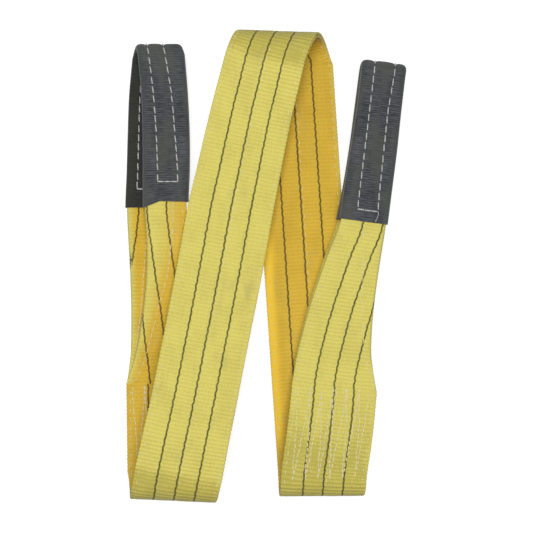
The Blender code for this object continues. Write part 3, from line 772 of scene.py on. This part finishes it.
def tip_states(front, back, steps):
    f = eye_state(front, TIP, 1.0)
    b = eye_state(back, TIP, -1.0)
    radius = (f[0][2] - b[0][2]) / 2.0
    axis_z = (f[0][2] + b[0][2]) / 2.0
    across = unit(f[1] + b[1])
    ahead = unit(np.cross(across, (0.0, 0.0, 1.0)))
    if ahead[1] < 0.0:
        ahead = -ahead
    states = []
    for k in range(steps + 1):
        share = k / steps
        angle = math.pi * share
        normal = np.array([0.0, 0.0, 1.0]) * math.cos(angle) + ahead * math.sin(angle)
        base = f[0] + (b[0] - f[0]) * share
        base = np.array([base[0], base[1], axis_z]) + normal * radius
        states.append((base, across, normal, f[3] + (b[3] - f[3]) * share, FOLDED, 38.0))
    return states


def band_bounce(key, gone, width, place, under):
    """Golden share of a folded ply, by distance from its folded edge: painted bounce light and shade."""
    inset = width - place
    if key == "left_front":
        begin, spread = (np.interp(gone, *zip(*rows)) for rows in (GOLDEN_FROM, GOLDEN_OVER))
        return np.where(under, 0.5, np.clip((inset - begin) / spread, 0.04, 1.0))
    if key == "left_back":
        return np.where(under, np.clip((inset - 2.0) / 6.0, 0.05, 1.0), 0.0)
    return np.zeros_like(inset)


def band_piece(key, table, outward, t0, t1, start_s, sign, v_sign):
    """Folded ply from station t0 to t1.  v_sign: side of the strap its selvedge is on."""
    states, dist = eye_path(table, outward, t0, t1, STEP)
    seed = WEAVE_SEED[key]
    top = np.concatenate([[0.9, 2.6, 3.7, 4.4, 5.1, 6.4], np.linspace(10.0, 86.0, 14)])
    build = Build()
    rows, flats = [], []
    for state, gone in zip(states, dist):
        base, across, normal, width, thick, folded = state
        s = start_s + sign * gone
        r = thick / 2.0
        share = np.linspace(0.0, 1.0, len(top))
        a = np.where(top < width - r - 1.0, top, width - r - 1.0 + share * 0.9)
        ring = np.radians([72.0, 36.0, 0.0, -36.0, -72.0])
        under = np.linspace(width - r, width - folded, 6)
        pts = [(x, 0.0, x) for x in a]
        pts += [(width - r + r * math.cos(q), -r + r * math.sin(q),
                 width - r + r * (math.pi / 2.0 - q)) for q in ring]
        pts += [(x, -thick, width + (width - x) + 1.5) for x in under]
        pts += [(width - folded, -PLY, width + folded),
                (width * 0.5 * (1 - folded / width), -PLY, 3.0),
                (0.6, -PLY, 1.0), (0.0, -PLY * 0.75, 0.5), (-0.1, -PLY * 0.5, 0.2),
                (0.0, -PLY * 0.25, 0.5)]
        pts = np.array(pts)
        v = v_sign * (45.0 - pts[:, 2] - STRIPE_SHIFT[key])
        phase = rib_phase(s + 0.0 * v, v, seed)
        lift = rib_height(phase, s, v)
        n_top, n_ring, n_under = len(a), len(ring), len(under)
        push = np.zeros(len(pts))
        push[:n_top] = lift[:n_top] + 0.1 * wander(np.array([s]), v[:n_top], seed)
        push[n_top + n_ring:n_top + n_ring + n_under] = -lift[n_top + n_ring:n_top + n_ring + n_under]
        row = base + across * pts[:, :1] + normal * (pts[:, 1] + push)[:, None]
        for i, q in enumerate(ring):
            k = n_top + i
            out = across * math.cos(q) + normal * math.sin(q)
            row[k] += out * lift[k]
        rows.append(row)
        hidden = np.arange(len(pts)) >= n_top + n_ring
        flats.append(np.stack([phase, v, band_bounce(key, gone, width, pts[:, 0], hidden)], 1))
    build.loft(np.array(rows), np.array(flats), [CLOTH] * len(pts))
    marks = np.arange(3.0, dist[-1] - dist[0] - 3.0, SEAM_PITCH)
    index = np.array([int(np.argmin(np.abs(dist - dist[0] - m))) for m in marks])
    if len(index):
        line = np.array([s[0] + s[1] * 4.4 for s in states])
        normal = np.array([states[i][2] for i in index])
        build.threads(line[index] - normal * 0.25, np.gradient(line, axis=0)[index], normal,
                      5.0, 0.8, 0.36, SEW)
    return build, states, dist


def fold_seam(build, states, dist, insets, under):
    """The slanting row of sewing that holds the folded edge down."""
    line, normals = [], []
    for state, gone in zip(states, dist):
        base, across, normal, width, thick = state[:5]
        inset = np.interp(gone, *zip(*insets))
        place = base + across * max(width - inset, width * 0.3)
        line.append(place - normal * thick if under else place)
        normals.append(-normal if under else normal)
    line, normals = np.array(line), np.array(normals)
    marks = np.arange(dist[0] + 4.0, dist[-1] - 3.0, 8.2)
    index = np.array([int(np.argmin(np.abs(dist - m))) for m in marks])
    build.threads(line[index] - normals[index] * 0.2, np.gradient(line, axis=0)[index],
                  normals[index], 6.6, 1.0, 0.5, SEW)


def ring_points(lo, hi, top, bottom, r):
    """Section of the sleeve: a flat rounded tube, as (across, height, edge) points."""
    pts = []
    for x in np.linspace(lo + r, hi - r, FLAT_POINTS):
        pts.append((x, top, 0.0))
    for q in np.radians(ROUND_ANGLES):
        pts.append((hi - r + r * math.cos(q), top - r + r * math.sin(q), 1.0))
    for x in np.linspace(hi - r, lo + r, FLAT_POINTS):
        pts.append((x, bottom, 0.0))
    for q in np.radians(ROUND_ANGLES) - math.pi:
        pts.append((lo + r + r * math.cos(q), top - r + r * math.sin(q), 1.0))
    return np.array(pts)


def lanes_at(key, state):
    """Shares of the width, from the selvedge, where the two rows of sewing run."""
    rows = np.array(LANES[key])
    return [float(np.interp(state[0][1], rows[:, 0], rows[:, k])) for k in (1, 2)]


def sleeve_rows(key, states, dist, inner, bent, curved):
    """Rows of one wall of a sleeve, with puckers at the sewing and a rounded far end."""
    rows, flats = [], []
    seed = 2.0 if key.endswith("front") else 5.0
    for state, gone, bend in zip(states, dist, bent):
        base, across, normal, width = state[:4]
        wall = 1.3 if inner else 0.0
        lo, hi = -2.3 + wall, width + 1.9 - wall
        top, bottom = BAND_INSET - wall, BAND_INSET - SLEEVE_HEIGHT + wall
        r = (top - bottom) / 2.0
        mid = (top + bottom) / 2.0
        pts = ring_points(lo, hi, top, bottom, r)
        pts[:, 2] = np.where(np.abs(pts[:, 1] - mid) < r * 0.75, 1.0, 0.0)
        share = pts[:, 0] / max(width, 1.0)
        first, second = lanes_at(key, state)
        dip = 0.5 * bend * np.clip(np.abs(2.0 * share - 1.0), 0.0, 1.1) ** 8
        if not inner:
            for lane in (first, second):
                dip += (0.6 + 0.7 * bend) * np.exp(-((share - lane) / 0.045) ** 2)
            dip -= 0.35 * np.exp(-((share - (first + second) / 2.0) / 0.13) ** 2)
            dip += 0.25 * wander(np.array([gone * 2.2]), pts[:, 0] * 1.5, seed)
            dip += 0.1 * np.sin(gone * 2.0 * math.pi / 10.4 + share * 5.0)
        facing = np.clip((pts[:, 1] - mid) / (0.8 * r), -1.0, 1.0)
        row = base + across * pts[:, :1] + normal * (pts[:, 1] - dip * facing)[:, None]
        if curved:
            fade = max(0.0, 1.0 - (gone - dist[0]) / 26.0) ** 2
            row[:, 1] += fade * np.interp(share, (0.0, 0.62, 1.0), (0.4, 1.3, -5.6))
        rows.append(row)
        place = pts[:, 0] + 60.0 * (facing < 0.0)
        flats.append(np.stack([np.full(len(pts), gone), place, pts[:, 2]], 1))
    return np.array(rows), np.array(flats)


def sleeve_piece(key, states, dist, bent=None, mouth=False):
    bent = np.zeros(len(states)) if bent is None else bent
    curved = mouth and key == "left_front"
    build = Build()
    outer, flat_o = sleeve_rows(key, states, dist, False, bent, curved)
    inner, flat_i = sleeve_rows(key, states, dist, True, bent, curved)
    m = outer.shape[1]
    # the side of a back branch that faces into the loop takes the darker sleeve cloth: painted shade
    ring = len(ROUND_ANGLES)
    loop_side = range(FLAT_POINTS + 1, 2 * FLAT_POINTS + ring) if key.endswith("back") else ()
    build.loft(outer, flat_o, [COVER_IN_SHADE if j in loop_side else COVER for j in range(m)])
    build.loft(inner[:, ::-1], flat_i[:, ::-1], [COVER_IN_SHADE] * m)
    if mouth:
        flat = np.stack([flat_o[0], flat_i[0]])
        flat[:, :, 2] = 0.45
        build.loft(np.stack([outer[0], inner[0]]), flat, [COVER] * m)
    return build


def sleeve_sewing(build, key, states, dist, closed_at):
    """Two dashed rows along the sleeve, and a cross row where it is closed."""
    faces = [(1.0, BAND_INSET - 0.5)]
    if key.endswith("back"):
        faces.append((-1.0, BAND_INSET - SLEEVE_HEIGHT + 0.5))
    for side, level in faces:
        normals = side * np.array([s[2] for s in states])
        lines = []
        for lane in (0, 1):
            pts = np.array([s[0] + s[1] * (s[3] * lanes_at(key, s)[lane]) + s[2] * level
                            for s in states])
            lines.append(pts)
            begin = closed_at + FIRST_STITCH
            begin += SLEEVE_PITCH * max(0, math.ceil((dist[0] - begin) / SLEEVE_PITCH))
            marks = np.arange(begin, dist[-1], SLEEVE_PITCH)
            index = np.array([int(np.argmin(np.abs(dist - m))) for m in marks])
            if len(index):
                along = rows_unit(np.gradient(pts, axis=0)[index])
                lean = rows_unit(np.cross(normals[index], along)) * 0.06
                build.threads(pts[index], along + lean, normals[index],
                              SLEEVE_STITCH, 1.45, 0.85, WHITE)
        if dist[0] <= closed_at <= dist[-1]:
            k = int(np.argmin(np.abs(dist - closed_at)))
            a, b = lines[0][k], lines[1][k]
            count = 3
            lift = normals[k] * 0.7
            centres = [a + (b - a) * (i + 0.5) / count + lift for i in range(count)]
            build.threads(centres, [b - a] * count, [normals[k]] * count,
                          np.linalg.norm(b - a) / count * 1.04, 1.5, 0.75, WHITE)
            if key == "right_front":
                loose_end(build, lines[1][k], states[k])


def loose_end(build, start, state):
    """Short tail of thread left at the end of the closing row."""
    across, normal = state[1], state[2]
    run = unit(np.cross(normal, across))
    run = -run if run[1] > 0.0 else run
    path = [(0.3, 0.0), (0.9, 2.6), (0.6, 5.4), (-0.5, 8.2), (-0.9, 11.0)]
    points = np.array([start + across * x + run * y + normal * 0.7 for x, y in path])
    build.threads((points[1:] + points[:-1]) / 2.0, points[1:] - points[:-1],
                  [normal] * (len(points) - 1), 3.2, 0.8, 0.5, WHITE)


def finish_blend(obj):
    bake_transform(obj)


def build_eye(side, front, back, root, start_s, sign):
    v_sign = 1.0 if side == "left" else -1.0
    eye = f"{side}_eye_"
    closed_at = {}
    mouth = {"front": 6.17, "back": 6.06 if side == "left" else 6.17}
    for part, table, outward in (("front", front, 1.0), ("back", back, -1.0)):
        key = f"{side}_{part}"
        taper, states, dist = band_piece(key, table, outward, 0.0, NECK_FROM,
                                         start_s, sign, v_sign)
        if key in FOLD_SEAMS:
            fold_seam(taper, states, dist, FOLD_SEAMS[key], part == "back")
        obj = taper.to_object(f"{key}_taper_web", MATERIALS)
        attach(obj, root)
        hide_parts(f"{eye}{part}_taper")
        neck, states, dist = band_piece(key, table, outward, NECK_FROM, NECK_TO,
                                        start_s, sign, v_sign)
        if key in FOLD_SEAMS:
            fold_seam(neck, states, dist, FOLD_SEAMS[key], part == "back")
        obj = neck.to_object(f"{key}_neck_web", MATERIALS)
        if part == "front":
            finish_blend(obj)
        else:
            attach(obj, eye + "back_1")
        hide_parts(f"{eye}{part}_band_1")
        closed_at[part] = build_sleeve(side, part, table, outward, mouth[part])
    build_tip(side, front, back, closed_at)


def build_sleeve(side, part, table, outward, mouth):
    """Three lengths of sleeve on one branch: near, across the hinge, and far."""
    key, eye = f"{side}_{part}", f"{side}_eye_"
    one, two = f"{eye}{part}_1", f"{eye}{part}_2"
    cuts = [mouth, *SLEEVE_CUTS]
    for number, (t0, t1) in enumerate(zip(cuts, cuts[1:])):
        states, dist = eye_path(table, outward, t0, t1, SLEEVE_STEP)
        if number == 0:
            closed_at = dist[0] + CLOSED_AFTER[key]
        build = sleeve_piece(key, states, dist, mouth=number == 0)
        sleeve_sewing(build, key, states, dist, closed_at)
        obj = build.to_object(f"{side}_sleeve_{part}_{number + 1}_cloth", MATERIALS)
        if number == 0:
            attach(obj, one)
            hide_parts(f"{side}_sleeve_{part}_1")
            if part == "front":
                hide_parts(f"{side}_sleeve_stitching_1")
        elif number == 1:
            if part == "front":
                finish_blend(obj)
            else:
                finish_blend(obj)
            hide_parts(f"{side}_sleeve_{part}_2")
        else:
            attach(obj, two)
            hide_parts(f"{eye}{part}_band_2")
    return closed_at


def build_tip(side, front, back, closed_at):
    """The bend at the end of the eye, in two halves that meet at the far end."""
    eye = f"{side}_eye_"
    bend = tip_states(front, back, 32)
    arc = 12.1 * math.pi / 2.0
    lead_f, dist_f = eye_path(front, 1.0, SLEEVE_CUTS[-1], LAST_STRAIGHT, SLEEVE_STEP)
    lead_b, dist_b = eye_path(back, -1.0, SLEEVE_CUTS[-1], LAST_STRAIGHT, SLEEVE_STEP)
    turn = np.sin(np.linspace(0.0, math.pi / 2.0, 17))
    for part, lead, gone, half in (("front", lead_f, dist_f, bend[:17]),
                                   ("back", lead_b, dist_b, bend[:15:-1])):
        key = f"{side}_{part}"
        states = lead + half
        dist = np.concatenate([gone, gone[-1] + 1.0 + np.linspace(0.0, arc, 17)])
        build = sleeve_piece(key, states, dist, np.concatenate([np.zeros(len(lead)), turn]))
        sleeve_sewing(build, key, states, dist, closed_at[part])
        obj = build.to_object(f"{side}_sleeve_tip_{part}_cloth", MATERIALS)
        if part == "front":
            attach(obj, eye + "front_2")
            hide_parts(f"{side}_sleeve_tip")
        else:
            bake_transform(obj)
            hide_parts(f"{side}_eye_tip_band")


# ---- splice sewing ----
def build_splice(name, leg, node, outer, at_start):
    """Long narrow zigzag of stitches that joins the two plies beside the eye."""
    s0, s1 = STRAP.ends[leg]
    side = 1.0 if outer else -1.0
    build = Build()
    deep = min(108.0, s1 - s0 - 2.0)
    corners = [(2.5 + 5.0 * wander(9.0 * k, 0.0, 3.0) if k % 2 == 0
                else deep + 4.0 * wander(11.0 * k, 0.0, 5.0),
                -38.5 + 6.4 * k + 1.8 * wander(31.0 * k, 0.0, 2.0)) for k in range(13)]
    for (u0, v0), (u1, v1) in zip(corners, corners[1:]):
        length = math.hypot(u1 - u0, v1 - v0)
        count = max(int(length / 5.6), 1)
        centres, along, normals = [], [], []
        for i in range(count):
            x = (i + 0.5) / count
            stray = 0.75 * wander(23.0 * i, 7.0 * v0, 1.0)
            u, v = u0 + (u1 - u0) * x, v0 + (v1 - v0) * x + stray
            s = s0 + u if at_start else s1 - u
            k = STRAP.row(s)
            share = v / WEB + 0.5
            point = STRAP.west[k] + (STRAP.east[k] - STRAP.west[k]) * share
            normal = STRAP.normals(share)[k] * side
            across = unit(STRAP.east[k] - STRAP.west[k])
            run = STRAP.tangent[k] * (1.0 if at_start else -1.0)
            centres.append(point + normal * (HALF - 0.35))
            along.append(run * (u1 - u0) + across * (v1 - v0 + 6.0 * stray))
            normals.append(normal)
        build.threads(centres, along, normals, length / count * 0.82, 1.5, 0.6, SEW)
    obj = build.to_object(name, MATERIALS)
    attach(obj, leg)
    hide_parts(node)


# ---- stage ----
CAMERA_HEIGHT = 1.0
VIEW_DISTANCE = 0.995
VIEW_WIDTH = 585.0208


def build_stage():
    """Pale floor, soft overhead light, and the camera straight above, all in metres."""
    mesh = bpy.data.meshes.new("floor")
    half, level = 12.0, -0.0006
    corners = [(-half, -half), (half, -half), (half, half), (-half, half)]
    mesh.from_pydata([(x, y, level) for x, y in corners], [], [(0, 1, 2, 3)])
    floor = bpy.data.objects.new("floor", mesh)
    bpy.context.scene.collection.objects.link(floor)
    n = Nodes("floor_white")
    n.shader.inputs["Base Color"].default_value = (0.32, 0.32, 0.32, 1.0)
    n.shader.inputs["Emission Color"].default_value = (1.0, 1.0, 1.0, 1.0)
    n.shader.inputs["Emission Strength"].default_value = 0.78
    n.shader.inputs["Roughness"].default_value = 0.9
    n.shader.inputs["Specular IOR Level"].default_value = 0.1
    mesh.materials.append(n.mat)
    floor.visible_diffuse = False

    world = bpy.data.worlds.new("soft_world")
    world.use_nodes = True
    back = world.node_tree.nodes["Background"]
    back.inputs[0].default_value = (1.0, 1.0, 1.0, 1.0)
    back.inputs[1].default_value = 0.16
    bpy.context.scene.world = world

    def area(name, place, aim, size, power):
        data = bpy.data.lights.new(name, "AREA")
        data.shape = "DISK"
        data.size = size
        data.energy = power
        obj = bpy.data.objects.new(name, data)
        obj.location = place
        direction = np.array(aim, float) - np.array(place, float)
        obj.rotation_euler = Vector(direction).to_track_quat("-Z", "Y").to_euler()
        bpy.context.scene.collection.objects.link(obj)

    area("overhead", (0.05, 0.1, 1.9), (0.0, 0.0, 0.0), 1.2, 31.0)
    area("side_left", (-1.3, 0.6, 1.2), (0.0, 0.0, 0.0), 0.8, 3.0)

    camera = bpy.data.cameras.new("camera")
    # the view is VIEW_WIDTH wide at that distance under the camera
    camera.sensor_width = 36.0
    camera.lens = camera.sensor_width * VIEW_DISTANCE / (VIEW_WIDTH * MM)
    eye = bpy.data.objects.new("camera", camera)
    eye.location = tuple(-CENTRE * MM + np.array([0.0, 0.0, CAMERA_HEIGHT]))
    eye.rotation_euler = (0.0, 0.0, 0.0)
    bpy.context.scene.collection.objects.link(eye)
    bpy.context.scene.camera = eye
    bpy.context.scene.view_settings.view_transform = "Standard"


build_stage()
build_strap()
build_eye("left", LEFT_FRONT, LEFT_BACK, "strap_a", 0.0, -1.0)
build_eye("right", RIGHT_FRONT, RIGHT_BACK, "strap_d", STRAP.length, 1.0)
build_splice("left_splice_sewing", "strap_a", "left_splice_stitching", False, True)
build_splice("right_splice_sewing", "strap_d", "right_splice_stitching", True, False)
